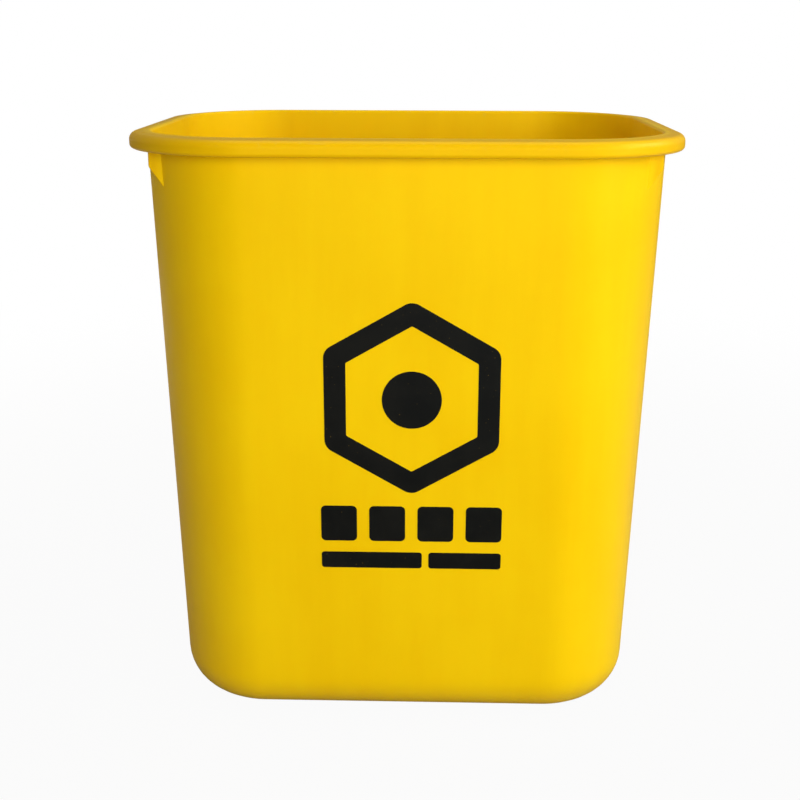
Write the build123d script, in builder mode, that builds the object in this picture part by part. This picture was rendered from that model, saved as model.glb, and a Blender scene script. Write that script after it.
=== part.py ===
"""Open-top waste bin, moulded in one piece, with a plain screen print on its front wall.

Millimetres. +Z is up, the front faces -Y, and the origin is the middle of the footprint on the floor.
"""

import os
from math import cos, radians, sin, tan

from build123d import *

# ---- Driving dimensions ----------------------------------------------------------------------------

HEIGHT = 310.0  # floor to the top of the rim
BASE_WIDTH = 243.0  # outside of the walls, where they would meet the floor
BASE_DEPTH = 186.0
BASE_CORNER = 46.0  # upright corner radius at the floor
DRAFT = 1.85  # degrees that every wall leans outwards
WALL = 2.0  # thickness of the walls
FLOOR = 2.2  # thickness of the floor panel
FOOT_ROUND = 25.0  # rounding from the walls into the floor

RIM_REACH = 9.0  # how far the turned-out rim stands past the wall
RIM_DROP = 8.5  # height of the rim, from its crown to the edge of its skirt
RIM_THICKNESS = 2.4
RIM_SLOPE = 0.9  # fall of the rim's top towards its outer edge
RIM_OUTER_ROUND = 3.8
RIM_SKIRT_ROUND = 2.0
RIM_HOLLOW_ROUND = 1.2
RIM_MOUTH_ROUND = 1.4  # rounding of the inner edge of the mouth

LUG_INSET = 6.2  # each stacking lug squares off a round corner, this far inside the side wall's plane
LUG_DROP = 7.5  # straight part of a lug below the rim's skirt
LUG_SLOPE = 35.0  # degrees from upright of a lug's sloping foot
LUG_FRONT = 82.0  # distance from the middle of the side wall to a lug's end
LUG_LENGTH = 11.0
LUG_ROUND = 0.6

PANEL_RISE = 3.0  # the floor panel's middle is raised, so that the bin stands on a ring
PANEL_INSET = 9.0  # width of that ring
PANEL_CORNER = 14.0
PANEL_TAPER = 30.0
PANEL_ROUND = 1.2

GATE_DIMPLE_RADIUS = 8.0  # where the plastic entered the mould
GATE_DIMPLE_DEPTH = 0.7
GATE_NUB_RADIUS = 1.6
GATE_NUB_HEIGHT = 0.5

INK = 0.15  # thickness of the screen print
PRINT_SHIFT = 4.5  # the print sits a little to the right of the wall's middle
MARK_HEIGHT = 181.5  # heights up the sloping wall, from the floor
MARK_ACROSS_FLATS = 88.0
MARK_STROKE = 11.0
MARK_CORNER = 7.0
MARK_DOT_RADIUS = 15.0
BLOCKS_HEIGHT = 114.5
BLOCK_WIDTH = 18.5
BLOCK_TALL = 19.5
BLOCK_PITCH = 24.8
BLOCK_COUNT = 4
BLOCK_CORNER = 2.5
BARS_HEIGHT = 94.0
BAR_TALL = 9.0
LONG_BAR = 52.0
SHORT_BAR = 37.5
BAR_GAP = 3.4
BAR_CORNER = 1.6

# ---- Sizes that follow -----------------------------------------------------------------------------

LEAN = tan(radians(DRAFT))
TOP_WIDTH = BASE_WIDTH + 2 * HEIGHT * LEAN
TOP_DEPTH = BASE_DEPTH + 2 * HEIGHT * LEAN
TOP_CORNER = BASE_CORNER + HEIGHT * LEAN
PANEL_WIDTH = BASE_WIDTH - 2 * FOOT_ROUND - 2 * PANEL_INSET
PANEL_DEPTH = BASE_DEPTH - 2 * FOOT_ROUND - 2 * PANEL_INSET
OVERLAP = 2.0  # how far parts of the one moulding run into each other before they are joined

# The front wall's outer face: x runs to the right, y up the slope from the floor.
FRONT_WALL = Plane(
    origin=(0, -BASE_DEPTH / 2, 0),
    x_dir=(1, 0, 0),
    z_dir=(0, -cos(radians(DRAFT)), -sin(radians(DRAFT))),
)


def drafted_tub(inset, bottom, top, foot_round):
    """The solid inside the walls' outline, pulled in by inset, from bottom to top, rounded at its foot."""
    grow = bottom * LEAN - inset
    with BuildPart() as tub:
        with BuildSketch(Plane.XY.offset(bottom)):
            RectangleRounded(BASE_WIDTH + 2 * grow, BASE_DEPTH + 2 * grow, BASE_CORNER + grow)
        extrude(amount=top - bottom, taper=-DRAFT)
        fillet(tub.edges().group_by(Axis.Z)[0], foot_round)
    return tub.part


def raised_panel(bottom, margin, rounding):
    """The low tapered plateau in the middle of the floor, margin wider all round, starting at bottom."""
    with BuildPart() as panel:
        with BuildSketch(Plane.XY.offset(bottom)):
            RectangleRounded(PANEL_WIDTH + 2 * margin, PANEL_DEPTH + 2 * margin, PANEL_CORNER + margin)
        extrude(amount=PANEL_RISE, taper=PANEL_TAPER)
        fillet(panel.edges().group_by(Axis.Z)[-1], rounding)
    return panel.part


def turned_rim():
    """The rim: a flange that turns outwards and down into a skirt, hollow underneath."""
    wall_x, wall_y = TOP_WIDTH / 2, TOP_DEPTH / 2
    outer_x = wall_x + RIM_REACH
    inner_x = wall_x - WALL - OVERLAP
    under = HEIGHT - RIM_THICKNESS
    skirt_end = HEIGHT - RIM_DROP
    with BuildPart() as rim:
        with BuildLine(Plane.XY.offset(HEIGHT)) as back_half:
            FilletPolyline(
                (wall_x, 0),
                (wall_x, wall_y),
                (-wall_x, wall_y),
                (-wall_x, 0),
                radius=TOP_CORNER,
            )
        with BuildSketch(Plane.XZ):
            with BuildLine():
                FilletPolyline(
                    (inner_x, HEIGHT),
                    (wall_x, HEIGHT),
                    (outer_x, HEIGHT - RIM_SLOPE),
                    (outer_x, skirt_end),
                    (outer_x - RIM_THICKNESS, skirt_end),
                    (outer_x - RIM_THICKNESS, under - RIM_SLOPE),
                    (wall_x, under),
                    (inner_x, under),
                    radius=[0, 0, RIM_OUTER_ROUND, RIM_SKIRT_ROUND, 0, RIM_HOLLOW_ROUND, 0, 0],
                    close=True,
                )
            make_face()
        sweep(path=back_half.wires()[0])
        mirror(about=Plane.XZ)
    return rim.part


def stacking_lug():
    """One lug under the rim at the front right corner, which keeps nested bins from jamming."""
    outer_x = TOP_WIDTH / 2 - LUG_INSET
    inner_x = TOP_WIDTH / 2 - TOP_CORNER / 2
    top = HEIGHT - RIM_THICKNESS / 2
    knee = HEIGHT - RIM_DROP - LUG_DROP
    with BuildPart() as lug:
        with BuildSketch(Plane.XZ.offset(LUG_FRONT)):
            with BuildLine():
                Polyline(
                    (inner_x, top),
                    (outer_x, top),
                    (outer_x, knee),
                    (inner_x, knee - (outer_x - inner_x) / tan(radians(LUG_SLOPE))),
                    close=True,
                )
            make_face()
        extrude(amount=-LUG_LENGTH)
        fillet(lug.faces().sort_by(Axis.X)[-1].edges().filter_by(Axis.Z).sort_by(Axis.Y)[0], LUG_ROUND)
    return lug.part


# ---- The moulded bin -------------------------------------------------------------------------------

outside = drafted_tub(inset=0, bottom=0, top=HEIGHT, foot_round=FOOT_ROUND)
inside = drafted_tub(inset=WALL, bottom=FLOOR, top=HEIGHT + OVERLAP, foot_round=FOOT_ROUND - WALL)
front_right_lug = stacking_lug()
right_lugs = front_right_lug + front_right_lug.mirror(Plane.XZ)

with BuildPart() as bin_body:
    add(outside)
    add(turned_rim())
    add(right_lugs)
    add(right_lugs.mirror(Plane.YZ))
    add(inside, mode=Mode.SUBTRACT)
    add(raised_panel(bottom=FLOOR, margin=FLOOR / 2, rounding=PANEL_ROUND + FLOOR / 2))
    add(raised_panel(bottom=0, margin=0, rounding=PANEL_ROUND), mode=Mode.SUBTRACT)
    with BuildSketch(Plane.XY.offset(PANEL_RISE)):
        Circle(GATE_DIMPLE_RADIUS)
    extrude(amount=GATE_DIMPLE_DEPTH, mode=Mode.SUBTRACT)
    with BuildSketch(Plane.XY.offset(PANEL_RISE + GATE_DIMPLE_DEPTH)):
        Circle(GATE_NUB_RADIUS)
    extrude(amount=-GATE_NUB_HEIGHT)
    mouth = bin_body.faces().sort_by(Axis.Z)[-1].inner_wires()
    fillet(mouth.edges(), RIM_MOUTH_ROUND)

# ---- The screen print, four separate patches of ink --------------------------------------------------

with BuildPart() as print_frame:
    with BuildSketch(FRONT_WALL) as frame_shape:
        with Locations((PRINT_SHIFT, MARK_HEIGHT)):
            RegularPolygon(MARK_ACROSS_FLATS / 2, 6, major_radius=False, rotation=30)
        fillet(frame_shape.vertices(), MARK_CORNER)
        offset(amount=-MARK_STROKE, kind=Kind.INTERSECTION, mode=Mode.SUBTRACT)
    extrude(amount=INK)

with BuildPart() as print_dot:
    with BuildSketch(FRONT_WALL):
        with Locations((PRINT_SHIFT, MARK_HEIGHT)):
            Circle(MARK_DOT_RADIUS)
    extrude(amount=INK)

with BuildPart() as print_blocks:
    with BuildSketch(FRONT_WALL):
        with Locations((PRINT_SHIFT, BLOCKS_HEIGHT)):
            with GridLocations(BLOCK_PITCH, BLOCK_TALL, BLOCK_COUNT, 1):
                RectangleRounded(BLOCK_WIDTH, BLOCK_TALL, BLOCK_CORNER)
    extrude(amount=INK)

with BuildPart() as print_bars:
    with BuildSketch(FRONT_WALL):
        left_end = PRINT_SHIFT - (LONG_BAR + BAR_GAP + SHORT_BAR) / 2
        with Locations((left_end + LONG_BAR / 2, BARS_HEIGHT)):
            RectangleRounded(LONG_BAR, BAR_TALL, BAR_CORNER)
        with Locations((left_end + LONG_BAR + BAR_GAP + SHORT_BAR / 2, BARS_HEIGHT)):
            RectangleRounded(SHORT_BAR, BAR_TALL, BAR_CORNER)
    extrude(amount=INK)

# ---- Hand-over -------------------------------------------------------------------------------------

bin_body.part.label = "bin_body"
print_frame.part.label = "print_frame"
print_dot.part.label = "print_dot"
print_blocks.part.label = "print_blocks"
print_bars.part.label = "print_bars"

os.makedirs("parts", exist_ok=True)
export_step(bin_body.part, "parts/bin_body.step")
export_step(print_frame.part, "parts/print_frame.step")
export_step(print_dot.part, "parts/print_dot.step")
export_step(print_blocks.part, "parts/print_blocks.step")
export_step(print_bars.part, "parts/print_bars.step")
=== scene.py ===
"""Looks of the open-top waste bin: one yellow moulding with a plain black screen print on its front wall.

Metres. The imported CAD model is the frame: +Z is up, the front faces -Y, and the origin is the middle of
the footprint on the floor.
"""

from math import atan2, ceil, cos, pi, radians, sin, tan

import bmesh
import bpy
from mathutils import Matrix, Vector


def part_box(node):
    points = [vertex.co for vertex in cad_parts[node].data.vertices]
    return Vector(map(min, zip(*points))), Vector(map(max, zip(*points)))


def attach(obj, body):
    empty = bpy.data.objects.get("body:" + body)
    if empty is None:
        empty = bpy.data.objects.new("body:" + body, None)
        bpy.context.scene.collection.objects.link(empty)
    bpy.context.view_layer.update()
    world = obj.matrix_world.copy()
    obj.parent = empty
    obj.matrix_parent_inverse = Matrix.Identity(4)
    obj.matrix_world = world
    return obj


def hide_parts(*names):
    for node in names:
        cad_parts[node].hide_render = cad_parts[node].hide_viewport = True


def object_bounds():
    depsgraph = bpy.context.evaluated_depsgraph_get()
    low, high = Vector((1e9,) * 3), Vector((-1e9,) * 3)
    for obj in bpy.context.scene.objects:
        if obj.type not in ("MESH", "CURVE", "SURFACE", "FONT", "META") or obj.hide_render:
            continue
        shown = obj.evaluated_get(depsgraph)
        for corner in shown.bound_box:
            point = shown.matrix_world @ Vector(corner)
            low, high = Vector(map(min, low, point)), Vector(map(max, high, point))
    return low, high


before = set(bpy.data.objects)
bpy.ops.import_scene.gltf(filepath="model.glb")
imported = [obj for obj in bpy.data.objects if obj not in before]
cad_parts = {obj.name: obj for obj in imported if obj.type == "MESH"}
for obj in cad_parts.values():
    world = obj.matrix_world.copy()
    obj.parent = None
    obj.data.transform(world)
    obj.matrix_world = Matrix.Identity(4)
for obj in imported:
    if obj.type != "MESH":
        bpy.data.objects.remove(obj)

MM = 0.001
CAD_LOW, CAD_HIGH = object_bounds()

# ---- Sizes of the moulding ---------------------------------------------------------------------------
# The frame gives the height and the overall width and depth. The rest repeats the CAD model's driving
# dimensions, and adds small roundings that it leaves out.

HEIGHT = CAD_HIGH.z
DRAFT = radians(1.85)  # lean of every wall
WALL = 2.0 * MM  # thickness of the walls
FLOOR = 2.2 * MM  # thickness of the floor
BASE_CORNER = 46 * MM  # upright corner radius where the walls would meet the floor
FOOT_ROUND = 25 * MM  # from the walls into the floor

RIM_REACH = 9.0 * MM  # how far the turned-out rim stands past the wall
RIM_DROP = 8.5 * MM  # from its crown to the edge of its skirt
RIM_THICKNESS = 2.4 * MM
RIM_SLOPE = 0.9 * MM  # fall of its top towards the outer edge
RIM_CROWN_ROUND = 12 * MM  # where its top begins to fall
RIM_OUTER_ROUND = 3.8 * MM
RIM_SKIRT_ROUND = 2.0 * MM
RIM_SKIRT_INNER_ROUND = 0.35 * MM
RIM_HOLLOW_ROUND = 1.2 * MM  # in the roof of the hollow under it
RIM_ROOT_ROUND = 1.0 * MM  # from that roof into the wall
RIM_MOUTH_ROUND = 1.4 * MM

PANEL_RISE = 3.0 * MM  # the floor's middle is raised, so that the bin stands on a ring
PANEL_EDGE = 12 * MM  # offset at which the raised panel begins
PANEL_SPARE = 2 * MM  # how much rounder the panel's corners are than the walls' family of corners
PANEL_LEAN = tan(radians(30))
PANEL_ROUND = 1.2 * MM
PANEL_FOOT_ROUND = 0.4 * MM
PANEL_INNER_ROUND = 2.3 * MM  # the same two, as seen inside the bin
PANEL_INNER_FOOT_ROUND = 0.8 * MM
PANEL_RUN = 8 * MM  # how far the section goes on over the panel

DIMPLE_RADIUS = 8 * MM  # where the plastic entered the mould
DIMPLE_DEPTH = 0.7 * MM
DIMPLE_FLARE = 0.3 * MM  # how much wider the dimple is at its mouth
DIMPLE_ROUND = 0.5 * MM
DIMPLE_LIP_ROUND = 0.15 * MM
NUB_RADIUS = 1.6 * MM
NUB_HEIGHT = 0.5 * MM
NUB_ROUND = 0.3 * MM
NUB_FOOT_ROUND = 0.1 * MM

LUG_INSET = 6.2 * MM  # each lug squares off a round corner, this far inside the side wall's plane
LUG_DROP = 7.5 * MM  # straight part below the rim's skirt
LUG_SLOPE = radians(35)  # of its sloping foot, from upright
LUG_FRONT = 82 * MM  # distance from the middle of the side wall to its far end
LUG_LENGTH = 11 * MM
LUG_ROUND = 0.6 * MM  # upright edge at the far end
LUG_KNEE_ROUND = 3 * MM

# The core rectangle's corners are the centres of the walls' round corners, at every height. An offset is
# how far outside this rectangle something stands.
LEAN = tan(DRAFT)
WALL_TOP = BASE_CORNER + HEIGHT * LEAN  # offset of the wall's outer face at the top
CORE_X = CAD_HIGH.x - WALL_TOP - RIM_REACH  # the core rectangle's half sizes
CORE_Y = CAD_HIGH.y - WALL_TOP - RIM_REACH

# ---- Sizes of the print ------------------------------------------------------------------------------

INK = 0.15 * MM  # thickness
INK_EDGE = 0.06 * MM  # rounding along the ink's edges
INK_SINK = 0.05 * MM  # how far the ink keys into the wall
MARK_STROKE = 11 * MM  # width of the hexagon's line
MARK_CORNER = 7 * MM
MARK_INNER_CORNER = 1.2 * MM
BLOCK_WIDTH = 18.5 * MM
BLOCK_COUNT = 4
BLOCK_CORNER = 2.5 * MM
SHORT_BAR = 37.5 * MM
BAR_GAP = 3.4 * MM
BAR_CORNER = 1.6 * MM

# ---- Fineness of the meshes --------------------------------------------------------------------------

CORNER_STEPS = 28  # round each upright corner
LONG_STEPS = 18  # along the straight part of the front and back
SHORT_STEPS = 12  # along the straight part of the sides
ARC_STEP = radians(7.5)  # round each corner of a section or outline
MIN_ARC_STEPS = 4
RUN_STEP = 10 * MM  # the longest face up the walls
PANEL_STEPS = 6  # from the panel's middle to the section
NUB_CAP = 0.4  # radius of the face that closes the nub, as a share of the nub's
MARK_EDGE = 1.4  # radius of the last ring round the gate mark, as a share of the dimple's
FLOOR_CAP = 1.5  # radius of the face that closes the inner floor, as a share of the dimple's
LUG_ROUND_STEPS = 4
LUG_RUN_STEPS = 5
SEAM_GAP = 0.012 * MM  # corners nearer than this along a seam are one corner
DISC_STEPS = 72
INK_EDGE_STEPS = 3
STUDIO_FLOOR_STEPS = 96

FLAT_WEIGHT = 80  # how strongly large faces set the shading of the corners they share
MOULDING_CREASE = radians(38)  # sharper edges than this are shaded as edges
INK_CREASE = radians(60)


# ---- Outlines ----------------------------------------------------------------------------------------

def rounded(corners, closed=False, longest=None):
    """Points along straight runs between corners (across, up, radius), with an arc at each corner.

    Runs longer than longest are cut into equal steps. An open outline's two ends stay sharp.
    """
    count = len(corners)
    points = []
    for i, (across, up, radius) in enumerate(corners):
        here = Vector((across, up))
        if radius == 0 or (not closed and i in (0, count - 1)):
            points.append(here)
            continue
        before = (Vector(corners[i - 1][:2]) - here).normalized()
        after = (Vector(corners[(i + 1) % count][:2]) - here).normalized()
        opening = before.angle(after)
        middle = here + (before + after).normalized() * radius / sin(opening / 2)
        start = here + before * radius / tan(opening / 2) - middle
        turn = start.angle_signed(here + after * radius / tan(opening / 2) - middle)
        steps = max(MIN_ARC_STEPS, round(abs(turn) / ARC_STEP))
        for step in range(steps + 1):
            points.append(middle + Matrix.Rotation(-turn * step / steps, 2) @ start)
    if longest is None:
        return points
    finer = [points[0]]
    for start, end in zip(points, points[1:]):
        steps = ceil((end - start).length / longest)
        finer += [start.lerp(end, step / steps) for step in range(1, steps + 1)]
    return finer


def corner_radius(offset):
    """Upright corner radius of the outline at this offset."""
    foot = BASE_CORNER - FOOT_ROUND
    share = min(max((foot - offset) / (foot - PANEL_EDGE), 0), 1)
    return offset + PANEL_SPARE * share


def level_loop(offset, height):
    """A closed loop round the bin at one height: straight sides and round corners."""
    radius = corner_radius(offset)
    centre_x = CORE_X + offset - radius
    centre_y = CORE_Y + offset - radius
    loop = []
    for quarter, (side_x, side_y) in enumerate(((1, 1), (-1, 1), (-1, -1), (1, -1))):
        centre = Vector((side_x * centre_x, side_y * centre_y, height))
        for step in range(CORNER_STEPS + 1):
            angle = (quarter + step / CORNER_STEPS) * pi / 2
            loop.append(centre + radius * Vector((cos(angle), sin(angle), 0)))
        ahead = Vector((-side_y * centre_x, side_x * centre_y, height))
        start = loop[-1]
        end = ahead + radius * Vector((cos(angle), sin(angle), 0))
        steps = SHORT_STEPS if quarter % 2 else LONG_STEPS
        loop += [start.lerp(end, step / steps) for step in range(1, steps)]
    return loop


def round_loop(radius, height):
    """A level circle round the middle, with its points on the same rays as a level_loop's."""
    return [
        Vector((radius * cos(atan2(p.y, p.x)), radius * sin(atan2(p.y, p.x)), height))
        for p in level_loop(PANEL_EDGE, height)
    ]


def spread(inner, outer, steps):
    """The loops between two loops, the two themselves left out."""
    return [
        [a.lerp(b, step / steps) for a, b in zip(inner, outer)] for step in range(1, steps)
    ]


# ---- Mesh making -------------------------------------------------------------------------------------

def skin(bm, loops, ring=False):
    """Faces between successive closed loops. The first and last are capped, or joined to each other."""
    rows = [[bm.verts.new(point) for point in loop] for loop in loops]
    pairs = list(zip(rows, rows[1:]))
    if ring:
        pairs.append((rows[-1], rows[0]))
    else:
        bm.faces.new(reversed(rows[0]))
        bm.faces.new(rows[-1])
    for lower, upper in pairs:
        for i in range(len(lower)):
            j = (i + 1) % len(lower)
            bm.faces.new((lower[i], lower[j], upper[j], upper[i]))


def make_object(name, bm):
    """An object from a bmesh, with its faces turned outwards."""
    bmesh.ops.recalc_face_normals(bm, faces=bm.faces)
    mesh = bpy.data.meshes.new(name)
    bm.to_mesh(mesh)
    bm.free()
    thing = bpy.data.objects.new(name, mesh)
    bpy.context.scene.collection.objects.link(thing)
    return thing


def smooth(thing, crease):
    """Smooth shading that leaves flat walls flat, and leaves edges sharper than the crease angle as edges."""
    thing.data.shade_smooth()
    thing.data.set_sharp_from_angle(angle=crease)
    weighted = thing.modifiers.new("flat_walls", "WEIGHTED_NORMAL")
    weighted.keep_sharp = True
    weighted.weight = FLAT_WEIGHT


def finish_piece(piece, node, material, crease):
    """Shades a piece, gives it its material and ties it to the frame."""
    smooth(piece, crease)
    piece.data.materials.clear()
    piece.data.materials.append(material)
    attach(piece, "root")
    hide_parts(node)


# ---- The moulding ------------------------------------------------------------------------------------

def wall_offset(height, inset=0.0):
    """Offset of the wall's outer face at this height, or of a face this far inside it."""
    return BASE_CORNER + height * LEAN - inset


def gate_mark_loops():
    """The gate mark in the middle of the underside: a dimple with a nub in it, from the middle outwards."""
    roof = PANEL_RISE + DIMPLE_DEPTH
    mark = rounded((
        (NUB_CAP * NUB_RADIUS, roof - NUB_HEIGHT, 0),
        (NUB_RADIUS, roof - NUB_HEIGHT, NUB_ROUND),
        (NUB_RADIUS, roof, NUB_FOOT_ROUND),
        (DIMPLE_RADIUS, roof, DIMPLE_ROUND),
        (DIMPLE_RADIUS + DIMPLE_FLARE, PANEL_RISE, DIMPLE_LIP_ROUND),
        (MARK_EDGE * DIMPLE_RADIUS, PANEL_RISE, 0),
    ))
    return [round_loop(radius, height) for radius, height in mark]


def section():
    """The moulding's section, as offset and height: panel, foot, outer wall, rim, inner wall and floor."""
    skirt_end = HEIGHT - RIM_DROP
    under = HEIGHT - RIM_THICKNESS
    rim_out = WALL_TOP + RIM_REACH
    hollow_out = rim_out - RIM_THICKNESS
    inner_edge = PANEL_EDGE + FLOOR / 2
    return rounded((
        (PANEL_EDGE - PANEL_RISE * PANEL_LEAN - PANEL_RUN, PANEL_RISE, 0),
        (PANEL_EDGE - PANEL_RISE * PANEL_LEAN, PANEL_RISE, PANEL_ROUND),
        (PANEL_EDGE, 0, PANEL_FOOT_ROUND),
        (BASE_CORNER, 0, FOOT_ROUND),
        (wall_offset(under), under, RIM_ROOT_ROUND),
        (hollow_out, under - RIM_SLOPE, RIM_HOLLOW_ROUND),
        (hollow_out, skirt_end, RIM_SKIRT_INNER_ROUND),
        (rim_out, skirt_end, RIM_SKIRT_ROUND),
        (rim_out, HEIGHT - RIM_SLOPE, RIM_OUTER_ROUND),
        (WALL_TOP, HEIGHT, RIM_CROWN_ROUND),
        (wall_offset(HEIGHT, WALL), HEIGHT, RIM_MOUTH_ROUND),
        (wall_offset(FLOOR, WALL), FLOOR, FOOT_ROUND - WALL),
        (inner_edge, FLOOR, PANEL_INNER_FOOT_ROUND),
        (inner_edge - PANEL_RISE * PANEL_LEAN, FLOOR + PANEL_RISE, PANEL_INNER_ROUND),
        (inner_edge - PANEL_RISE * PANEL_LEAN - PANEL_RUN, FLOOR + PANEL_RISE, 0),
    ), longest=RUN_STEP)


def lug(side_x, side_y):
    """One stacking lug under the rim: a block rooted in the corner's wall, with a sloping foot."""
    outer = CORE_X + WALL_TOP - LUG_INSET
    top = HEIGHT - RIM_THICKNESS / 2
    knee = HEIGHT - RIM_DROP - LUG_DROP
    stations = [
        (outer - LUG_ROUND * (1 - sin(angle)), LUG_FRONT - LUG_ROUND * (1 - cos(angle)))
        for angle in (pi / 2 * step / LUG_ROUND_STEPS for step in range(LUG_ROUND_STEPS))
    ]
    run = LUG_LENGTH - LUG_ROUND
    stations += [
        (outer, LUG_FRONT - LUG_ROUND - run * step / LUG_RUN_STEPS) for step in range(LUG_RUN_STEPS + 1)
    ]
    loops = []
    for reach, away in stations:
        root = CORE_X + (wall_offset(knee, WALL / 2) ** 2 - (away - CORE_Y) ** 2) ** 0.5
        foot = knee - (reach - root) / tan(LUG_SLOPE)
        outline = rounded(((root, top, 0), (reach, top, 0), (reach, knee, LUG_KNEE_ROUND), (root, foot, 0)))
        loops.append([Vector((side_x * p.x, side_y * away, p.y)) for p in outline])
    bm = bmesh.new()
    skin(bm, loops)
    return make_object("lug", bm)


def joined(base, additions):
    """The base object with the additions united with it into one closed mesh."""
    for addition in additions:
        union = base.modifiers.new("union", "BOOLEAN")
        union.operation = "UNION"
        union.solver = "EXACT"
        union.object = addition
    depsgraph = bpy.context.evaluated_depsgraph_get()
    bm = bmesh.new()
    bm.from_object(base, depsgraph)
    bmesh.ops.remove_doubles(bm, verts=bm.verts, dist=SEAM_GAP)
    bmesh.ops.dissolve_degenerate(bm, edges=bm.edges, dist=SEAM_GAP)
    base.modifiers.clear()
    bm.to_mesh(base.data)
    bm.free()
    for addition in additions:
        bpy.data.objects.remove(addition)
    return base


def moulding():
    """The whole bin as one closed skin, with the four lugs grown into it."""
    mark = gate_mark_loops()
    walls = [level_loop(offset, height) for offset, height in section()]
    middle = round_loop(FLOOR_CAP * DIMPLE_RADIUS, FLOOR + PANEL_RISE)
    loops = mark + spread(mark[-1], walls[0], PANEL_STEPS) + walls
    loops += spread(walls[-1], middle, PANEL_STEPS) + [middle]
    bm = bmesh.new()
    skin(bm, loops)
    bin_skin = make_object("bin_moulding", bm)
    lugs = [lug(side_x, side_y) for side_x in (1, -1) for side_y in (1, -1)]
    return joined(bin_skin, lugs)


# ---- The print ---------------------------------------------------------------------------------------

def on_front(across, up, out):
    """A point on the front wall: across to the right, up the slope from the floor, out along its normal."""
    return Vector((
        across,
        -(CORE_Y + BASE_CORNER) - up * sin(DRAFT) - out * cos(DRAFT),
        up * cos(DRAFT) - out * sin(DRAFT),
    ))


def placed(node):
    """Where a CAD print node lies on the front wall: its middle and half sizes, across and up."""
    low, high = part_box(node)
    middle = (low + high) / 2
    half = (high - low) / 2
    up = (middle.z + INK / 2 * sin(DRAFT)) / cos(DRAFT)
    tall = (half.z - INK / 2 * sin(DRAFT)) / cos(DRAFT)
    return middle.x, up, half.x, tall


def hexagon(apothem, corner, inset):
    """A pointed-top hexagon with rounded corners, pulled in by inset."""
    reach = (apothem - inset) / cos(pi / 6)
    corners = [
        (reach * sin(k * pi / 3), reach * cos(k * pi / 3), corner - inset) for k in range(6)
    ]
    return rounded(corners, closed=True)


def disc(radius, inset):
    """A circle, pulled in by inset."""
    return [
        (radius - inset) * Vector((cos(2 * pi * k / DISC_STEPS), sin(2 * pi * k / DISC_STEPS)))
        for k in range(DISC_STEPS)
    ]


def rectangle(half_width, half_height, corner, inset):
    """A rectangle with rounded corners, pulled in by inset."""
    x, y = half_width - inset, half_height - inset
    return rounded(
        [(x, y, corner - inset), (-x, y, corner - inset), (-x, -y, corner - inset), (x, -y, corner - inset)],
        closed=True,
    )


def edge_loops(outline, across, up, inwards=1):
    """Loops from the root of the ink's edge, over its rounding, to its top. outline(inset) is its shape."""
    levels = [(0, -INK_SINK)]
    for step in range(INK_EDGE_STEPS + 1):
        angle = pi / 2 * step / INK_EDGE_STEPS
        levels.append((INK_EDGE * (1 - cos(angle)), INK - INK_EDGE * (1 - sin(angle))))
    return [
        [on_front(across + p.x, up + p.y, out) for p in outline(inwards * inset)]
        for inset, out in levels
    ]


def bar_loops(across, up, half_width, half_height, corner):
    """The loops of one rounded rectangle of ink."""
    return edge_loops(lambda inset: rectangle(half_width, half_height, corner, inset), across, up)


def ink(name, node, patches, colour):
    """One printed piece in place of its CAD node. Each patch is a list of loops and whether it is a ring."""
    bm = bmesh.new()
    for loops, ring in patches:
        skin(bm, loops, ring)
    finish_piece(make_object(name, bm), node, colour, INK_CREASE)


def print_pieces(colour):
    """The four printed pieces."""
    across, up, half_width, _ = placed("print_frame")
    outside = edge_loops(lambda inset: hexagon(half_width, MARK_CORNER, inset), across, up)
    inside = edge_loops(
        lambda inset: hexagon(half_width - MARK_STROKE, MARK_INNER_CORNER, inset), across, up, inwards=-1
    )
    ink("ink_frame", "print_frame", [(outside + inside[::-1], True)], colour)

    across, up, radius, _ = placed("print_dot")
    ink("ink_dot", "print_dot", [(edge_loops(lambda inset: disc(radius, inset), across, up), False)], colour)

    across, up, half_width, half_height = placed("print_blocks")
    first = across - half_width + BLOCK_WIDTH / 2
    pitch = (2 * half_width - BLOCK_WIDTH) / (BLOCK_COUNT - 1)
    blocks = [
        (bar_loops(first + k * pitch, up, BLOCK_WIDTH / 2, half_height, BLOCK_CORNER), False)
        for k in range(BLOCK_COUNT)
    ]
    ink("ink_blocks", "print_blocks", blocks, colour)

    across, up, half_width, half_height = placed("print_bars")
    half_long = half_width - (SHORT_BAR + BAR_GAP) / 2
    bars = [
        (bar_loops(across - half_width + half_long, up, half_long, half_height, BAR_CORNER), False),
        (bar_loops(across + half_width - SHORT_BAR / 2, up, SHORT_BAR / 2, half_height, BAR_CORNER), False),
    ]
    ink("ink_bars", "print_bars", bars, colour)


# ---- Materials ---------------------------------------------------------------------------------------
# Colours are linear red, green and blue. A scale is the number of a noise's features to the metre. A range
# is the stretch of a noise's values that is spread out from none to all.

YELLOW_DARK = (0.900, 0.550, 0.0012)
YELLOW_LIGHT = (0.935, 0.597, 0.0020)
CLOUD_SCALE = 11
CLOUD_SHARE = 0.6
FLOW_SCALES = (70, 70, 6)  # the flow marks run up the walls
FLOW_SHARE = 0.4
TONE_RANGE = (0.35, 0.65)

RIM_PAINTED_SHADE = (0.78, 0.435, 0.001)  # painted shade: a darker yellow on the rim's outer part, standing in for the dimmer light there
RIM_SHADE_SHARE = 0.7  # how much of that painted shade the rim takes
RIM_SHADE_BLEND = 3 * MM

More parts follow.
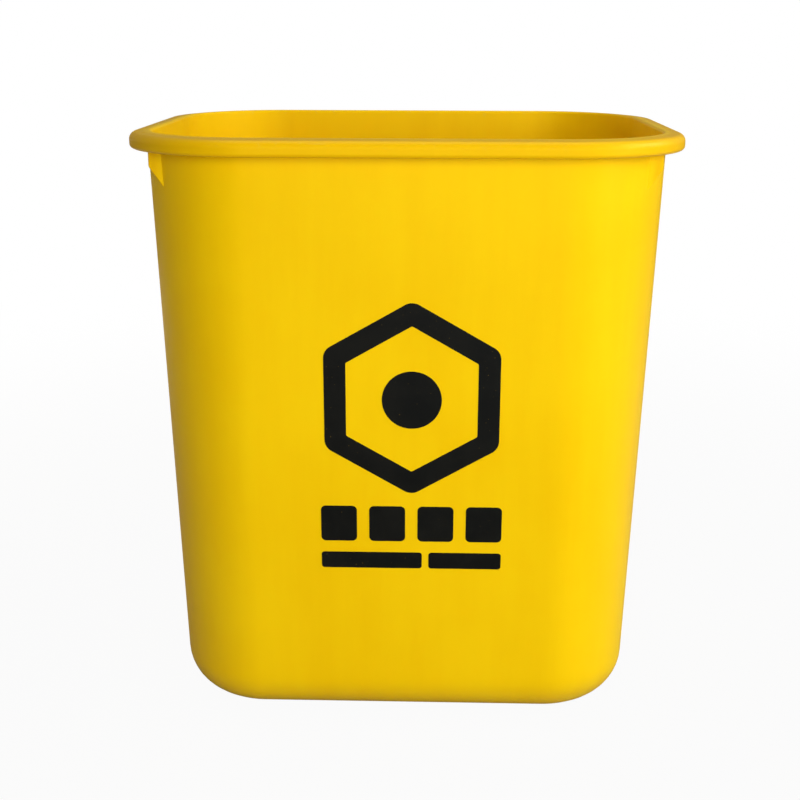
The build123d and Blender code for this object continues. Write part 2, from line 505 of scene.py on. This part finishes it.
FOOT_WEAR = 14 * MM  # height at which the foot's wear ends
RIM_WEAR = 6 * MM  # depth below the top at which the rim's wear begins
RIM_WEAR_FULL = 1 * MM  # and at which it is full
SPECK_SCALE = 260
SPECK_RANGE = (0.56, 0.68)
SCRATCH_SCALES = (60, 60, 1500)  # the scratches lie level
SCRATCH_RANGE = (0.62, 0.72)
WEAR_COLOUR = (0.80, 0.56, 0.10)
WEAR_SHARE = 0.22
WEAR_ROUGHNESS = 0.22
WEAR_DEPTH = 0.01 * MM
GRIME_COLOUR = (0.30, 0.19, 0.05)
GRIME_SHARE = 0.25
GRIME_HEIGHT = 5 * MM

GLOSS_SCALE = 420
GLOSS_SHARE = 0.5  # on top of the clouds
GLOSS_RANGE = (0.45, 1.0)
PLASTIC_ROUGHNESS = (0.33, 0.43)
PLASTIC_RELIEF = (  # scale, detail and depth of the walls' slow waves, the skin and its grain
    (16, 1, 0.35 * MM),
    (260, 2, 0.012 * MM),
    (2200, 2, 0.003 * MM),
)

INK_DARK = (0.0020, 0.0024, 0.0018)
INK_THIN = (0.0055, 0.0055, 0.0040)
COVER_SCALE = 60
COVER_RANGE = (0.3, 0.7)
COVER_DEPTH = 0.02 * MM
PINHOLE_COLOUR = (0.20, 0.13, 0.01)
PINHOLE_SCALE = 900
PINHOLE_RANGE = (0.76, 0.80)
PINHOLE_SHARE = 0.5
GRAIN_SCALE = 3200
GRAIN_DEPTH = 0.006 * MM
INK_GLOSS_RANGE = (0.6, 1.4)
INK_ROUGHNESS = (0.50, 0.66)

MIX_FIRST, MIX_SECOND, MIX_RESULT = 6, 7, 2  # a Mix node's sockets for colours, which share their names


class Tree:
    """A material's or world's nodes, added one call at a time."""

    def __init__(self, owner):
        owner.use_nodes = True
        self.nodes = owner.node_tree.nodes
        self.links = owner.node_tree.links
        self.nodes.clear()

    def add(self, kind, inputs=None, **settings):
        """A node of this kind. Inputs are named or numbered, and hold a value or another node's output."""
        node = self.nodes.new("ShaderNode" + kind)
        for name, value in settings.items():
            setattr(node, name, value)
        for name, value in (inputs or {}).items():
            if isinstance(value, bpy.types.NodeSocket):
                self.links.new(value, node.inputs[name])
            else:
                node.inputs[name].default_value = value
        return node

    def noise(self, where, scale, detail, roughness=0.5):
        """Noise with its features 1/scale metres apart."""
        return self.add(
            "TexNoise", {"Vector": where, "Scale": scale, "Detail": detail, "Roughness": roughness}
        ).outputs["Fac"]

    def stretched(self, where, x, y, z):
        """Coordinates scaled along each axis."""
        return self.add("Mapping", {"Vector": where, "Scale": (x, y, z)}).outputs["Vector"]

    def ramp(self, value, low, high, to_low=0.0, to_high=1.0):
        """The value's stretch from low to high as to_low to to_high, eased at both ends."""
        return self.add(
            "MapRange",
            {"Value": value, "From Min": low, "From Max": high, "To Min": to_low, "To Max": to_high},
            interpolation_type="SMOOTHSTEP",
        ).outputs["Result"]

    def maths(self, operation, first, second):
        """What an operation makes of two values."""
        return self.add("Math", {0: first, 1: second}, operation=operation).outputs[0]

    def vector(self, operation, first, second=(0, 0, 0)):
        """What an operation makes of two vectors."""
        return self.add("VectorMath", {0: first, 1: second}, operation=operation).outputs["Vector"]

    def mix(self, factor, first, second):
        """A colour between two colours."""
        node = self.add("Mix", {"Factor": factor}, data_type="RGBA")
        for socket, value in ((node.inputs[MIX_FIRST], first), (node.inputs[MIX_SECOND], second)):
            if isinstance(value, bpy.types.NodeSocket):
                self.links.new(value, socket)
            else:
                socket.default_value = (*value, 1)
        return node.outputs[MIX_RESULT]

    def bump(self, height, depth, under=None):
        """A bump whose height of 0 to 1 stands for depth metres, on top of another bump."""
        inputs = {"Height": height, "Distance": depth, "Strength": 1.0}
        if under is not None:
            inputs["Normal"] = under
        return self.add("Bump", inputs).outputs["Normal"]

    def surface(self, shader):
        """Ends the tree with this shader."""
        self.add("OutputMaterial", {"Surface": shader.outputs[0]})


def moulded_plastic():
    """Yellow polypropylene: faint flow marks, a fine skin, light scuffs where bins rub each other, and
    painted shade on the rim's outer part.
    """
    material = bpy.data.materials.new("yellow_polypropylene")
    tree = Tree(material)
    where = tree.add("TexCoord").outputs["Object"]
    height = tree.add("SeparateXYZ", {0: where}).outputs["Z"]

    clouds = tree.noise(where, CLOUD_SCALE, detail=3)
    flow = tree.noise(tree.stretched(where, *FLOW_SCALES), 1, detail=4, roughness=0.6)
    tone = tree.maths(
        "ADD", tree.maths("MULTIPLY", clouds, CLOUD_SHARE), tree.maths("MULTIPLY", flow, FLOW_SHARE)
    )
    colour = tree.mix(tree.ramp(tone, *TONE_RANGE), YELLOW_DARK, YELLOW_LIGHT)
    # Painted shade: the rim's outer part, past the wall's top, is darkened towards a deeper yellow to stand
    # in for the dimmer light on it.
    quarter = tree.vector("ABSOLUTE", where)
    out_of_core = tree.vector("MAXIMUM", tree.vector("SUBTRACT", quarter, (CORE_X, CORE_Y, 1)))
    reach = tree.add("VectorMath", {0: out_of_core}, operation="LENGTH").outputs["Value"]
    rim_shade_mask = tree.ramp(reach, WALL_TOP, WALL_TOP + RIM_SHADE_BLEND)
    colour = tree.mix(tree.maths("MULTIPLY", rim_shade_mask, RIM_SHADE_SHARE), colour, RIM_PAINTED_SHADE)

    foot = tree.ramp(height, 0.0, FOOT_WEAR, 1.0, 0.0)
    rim = tree.ramp(height, HEIGHT - RIM_WEAR, HEIGHT - RIM_WEAR_FULL)
    rubbed = tree.maths("MAXIMUM", foot, rim)
    specks = tree.ramp(tree.noise(where, SPECK_SCALE, detail=5, roughness=0.7), *SPECK_RANGE)
    scratches = tree.ramp(
        tree.noise(tree.stretched(where, *SCRATCH_SCALES), 1, detail=3, roughness=0.6), *SCRATCH_RANGE
    )
    wear = tree.maths("MULTIPLY", rubbed, tree.maths("MAXIMUM", specks, scratches))
    colour = tree.mix(tree.maths("MULTIPLY", wear, WEAR_SHARE), colour, WEAR_COLOUR)
    grime = tree.maths("MULTIPLY", tree.ramp(height, 0.0, GRIME_HEIGHT, 1.0, 0.0), specks)
    colour = tree.mix(tree.maths("MULTIPLY", grime, GRIME_SHARE), colour, GRIME_COLOUR)

    fine = tree.noise(where, GLOSS_SCALE, detail=3)
    gloss = tree.maths("ADD", tree.maths("MULTIPLY", fine, GLOSS_SHARE), clouds)
    roughness = tree.ramp(gloss, *GLOSS_RANGE, *PLASTIC_ROUGHNESS)
    roughness = tree.maths("ADD", roughness, tree.maths("MULTIPLY", wear, WEAR_ROUGHNESS))

    normal = None
    for scale, detail, depth in PLASTIC_RELIEF:
        normal = tree.bump(tree.noise(where, scale, detail), depth, normal)
    normal = tree.bump(wear, WEAR_DEPTH, normal)

    shader = tree.add("BsdfPrincipled", {
        "Base Color": colour,
        "Roughness": roughness,
        "Normal": normal,
        "IOR": 1.49,
        "Specular Tint": (1.0, 0.74, 0.06, 1.0),
        "Subsurface Weight": 0.12,
        "Subsurface Radius": (1.0, 0.62, 0.1),
        "Subsurface Scale": 2.5 * MM,
    })
    tree.surface(shader)
    return material


def print_ink():
    """Black screen ink: a little thin in places, with the faint grain of the printing mesh."""
    material = bpy.data.materials.new("black_screen_ink")
    tree = Tree(material)
    where = tree.add("TexCoord").outputs["Object"]
    cover = tree.noise(where, COVER_SCALE, detail=4, roughness=0.6)
    colour = tree.mix(tree.ramp(cover, *COVER_RANGE), INK_DARK, INK_THIN)
    pinholes = tree.ramp(tree.noise(where, PINHOLE_SCALE, detail=1), *PINHOLE_RANGE)
    colour = tree.mix(tree.maths("MULTIPLY", pinholes, PINHOLE_SHARE), colour, PINHOLE_COLOUR)
    grain = tree.noise(where, GRAIN_SCALE, detail=1)
    roughness = tree.ramp(tree.maths("ADD", cover, grain), *INK_GLOSS_RANGE, *INK_ROUGHNESS)
    normal = tree.bump(grain, GRAIN_DEPTH)
    normal = tree.bump(cover, COVER_DEPTH, normal)
    shader = tree.add("BsdfPrincipled", {
        "Base Color": colour,
        "Roughness": roughness,
        "Normal": normal,
        "IOR": 1.45,
        "Specular IOR Level": 0.12,
    })
    tree.surface(shader)
    return material


# ---- Stage -------------------------------------------------------------------------------------------

STUDIO_RADIUS = 12.0  # of the studio's floor
STUDIO_GAP = 0.1 * MM  # between that floor and the foot
STUDIO_GREY = (0.30, 0.30, 0.30)
STUDIO_GLOW = 0.95  # share of white that the camera sees in the floor at the bin
FADE_START = 0.25  # distances from the bin between which the floor runs into the backdrop
FADE_END = 1.1
BACKDROP = 1.0  # what the camera sees of the world
AMBIENT = 0.175  # the world's light on the bin

WHITE = (1.0, 1.0, 1.0)
WARM = (1.0, 0.86, 0.68)
SOFTBOXES = (  # name, place, width, height, power in watts, colour, whether it shows in gloss
    ("front", (0.15, -1.20, 0.45), 0.8, 0.8, 9.1, WHITE, True),
    ("right_front", (1.00, -0.75, 0.45), 0.6, 0.6, 5.4, WHITE, True),
    ("right_high", (1.10, -0.10, 0.85), 0.6, 0.6, 6.8, WHITE, True),
    ("back_left", (-0.75, 0.95, 0.30), 0.8, 0.5, 9.6, WARM, False),
    ("top", (0.00, 0.10, 1.30), 0.8, 0.8, 3.0, WHITE, True),
)

CAMERA_AT = Vector((0.0157, -0.7108, 0.361))
CAMERA_TURN = radians(1.6)  # to the left
CAMERA_TILT = radians(90 - 16.34)  # from straight down
CAMERA_ROLL = radians(0.15)
CAMERA_LENS = 57.6  # mm, on a sensor of this width
CAMERA_SENSOR = 36.0
CAMERA_NEAR = 0.01  # metres, nearest distance seen


def pale_floor():
    """A plain pale studio floor. Away from the bin it runs into the white backdrop."""
    material = bpy.data.materials.new("pale_floor")
    tree = Tree(material)
    where = tree.add("TexCoord").outputs["Object"]
    distance = tree.add("VectorMath", {0: where}, operation="LENGTH").outputs["Value"]
    matt = tree.add("BsdfDiffuse", {"Color": (*STUDIO_GREY, 1)})
    lit = tree.add("Emission", {"Color": (*WHITE, 1), "Strength": 1.0})
    seen = tree.add("LightPath").outputs["Is Camera Ray"]
    share = tree.maths("MULTIPLY", seen, tree.ramp(distance, FADE_START, FADE_END, STUDIO_GLOW, 1.0))
    mixed = tree.add("MixShader", {0: share, 1: matt.outputs[0], 2: lit.outputs[0]})
    tree.surface(mixed)
    return material


def make_floor():
    """A wide round floor just under the foot."""
    bm = bmesh.new()
    bmesh.ops.create_circle(bm, cap_ends=True, segments=STUDIO_FLOOR_STEPS, radius=STUDIO_RADIUS)
    mesh = bpy.data.meshes.new("floor")
    bm.to_mesh(mesh)
    bm.free()
    floor = bpy.data.objects.new("floor", mesh)
    floor.location.z = -STUDIO_GAP
    mesh.materials.append(pale_floor())
    bpy.context.scene.collection.objects.link(floor)


def make_world():
    """White to the camera, and a soft even grey light on the bin."""
    world = bpy.data.worlds.new("studio")
    bpy.context.scene.world = world
    tree = Tree(world)
    seen = tree.add("LightPath").outputs["Is Camera Ray"]
    strength = tree.add("MapRange", {"Value": seen, "To Min": AMBIENT, "To Max": BACKDROP}).outputs["Result"]
    background = tree.add("Background", {"Color": (*WHITE, 1), "Strength": strength})
    tree.add("OutputWorld", {"Surface": background.outputs[0]})


def soft_light(name, place, width, height, power, colour, glossy):
    """A rectangular softbox that faces the middle of the bin. The camera doesn't see it."""
    lamp = bpy.data.lights.new(name, "AREA")
    lamp.shape = "RECTANGLE"
    lamp.size = width
    lamp.size_y = height
    lamp.energy = power
    lamp.color = colour
    light = bpy.data.objects.new(name, lamp)
    aim = Vector((0, 0, HEIGHT / 2))
    light.location = place
    light.rotation_euler = (aim - Vector(place)).to_track_quat("-Z", "Y").to_euler()
    light.visible_camera = False
    light.visible_glossy = glossy
    bpy.context.scene.collection.objects.link(light)


def make_camera():
    """A normal lens in front of the bin, looking down into its mouth a little."""
    lens = bpy.data.cameras.new("camera")
    lens.sensor_width = CAMERA_SENSOR
    lens.lens = CAMERA_LENS
    lens.clip_start = CAMERA_NEAR
    camera = bpy.data.objects.new("camera", lens)
    turned = Matrix.Rotation(CAMERA_TURN, 4, "Z") @ Matrix.Rotation(CAMERA_TILT, 4, "X")
    camera.matrix_world = Matrix.Translation(CAMERA_AT) @ turned @ Matrix.Rotation(CAMERA_ROLL, 4, "Z")
    bpy.context.scene.collection.objects.link(camera)
    bpy.context.scene.camera = camera


def set_look():
    """Plain colours, with no film curve."""
    bpy.context.scene.view_settings.view_transform = "Standard"
    bpy.context.scene.view_settings.look = "None"


# ---- Making ------------------------------------------------------------------------------------------

make_camera()
make_world()
make_floor()
for softbox in SOFTBOXES:
    soft_light(*softbox)
set_look()

body = moulding()
finish_piece(body, "bin_body", moulded_plastic(), MOULDING_CREASE)
print_pieces(print_ink())
